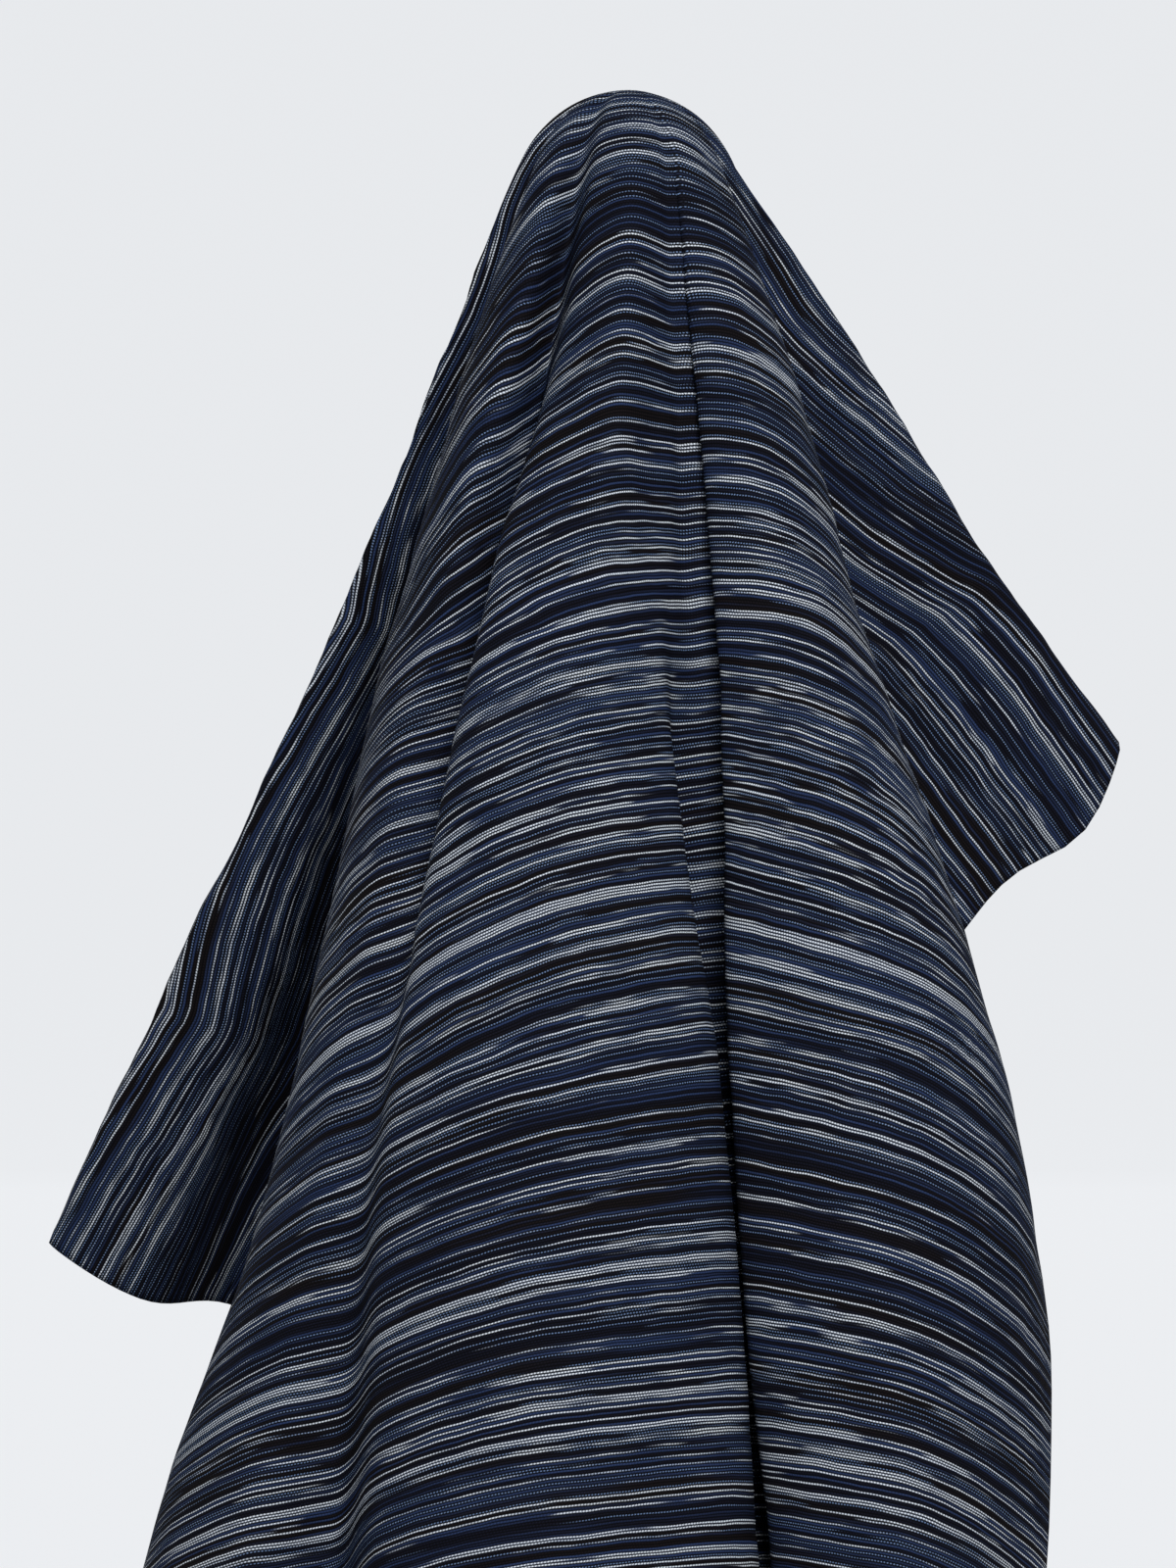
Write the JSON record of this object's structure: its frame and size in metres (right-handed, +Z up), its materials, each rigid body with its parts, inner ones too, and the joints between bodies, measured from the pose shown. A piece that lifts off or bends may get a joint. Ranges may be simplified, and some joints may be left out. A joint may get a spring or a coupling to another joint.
{
  "type": "kasuri fabric hung on a peg",
  "caption": "Length of dark indigo cotton woven with broken pale weft stripes, hung over one rounded point and falling in deep uneven folds.",
  "frame": {"origin": "the point the cloth hangs by, on its underside, where the peg's rounded end sits", "axes": "+Z up along the drop of the cloth, -Y towards the viewer of the front panel, +X to the viewer's right"},
  "size_m": [0.1849, 0.2431, 0.3505],
  "materials": {
    "kasuri_cotton": "matte plain-woven cotton, dark warp, space-dyed indigo and pale weft"
  },
  "bodies": {
    "root": {"cloth": "kasuri_cotton"}
  },
  "joints": []
}
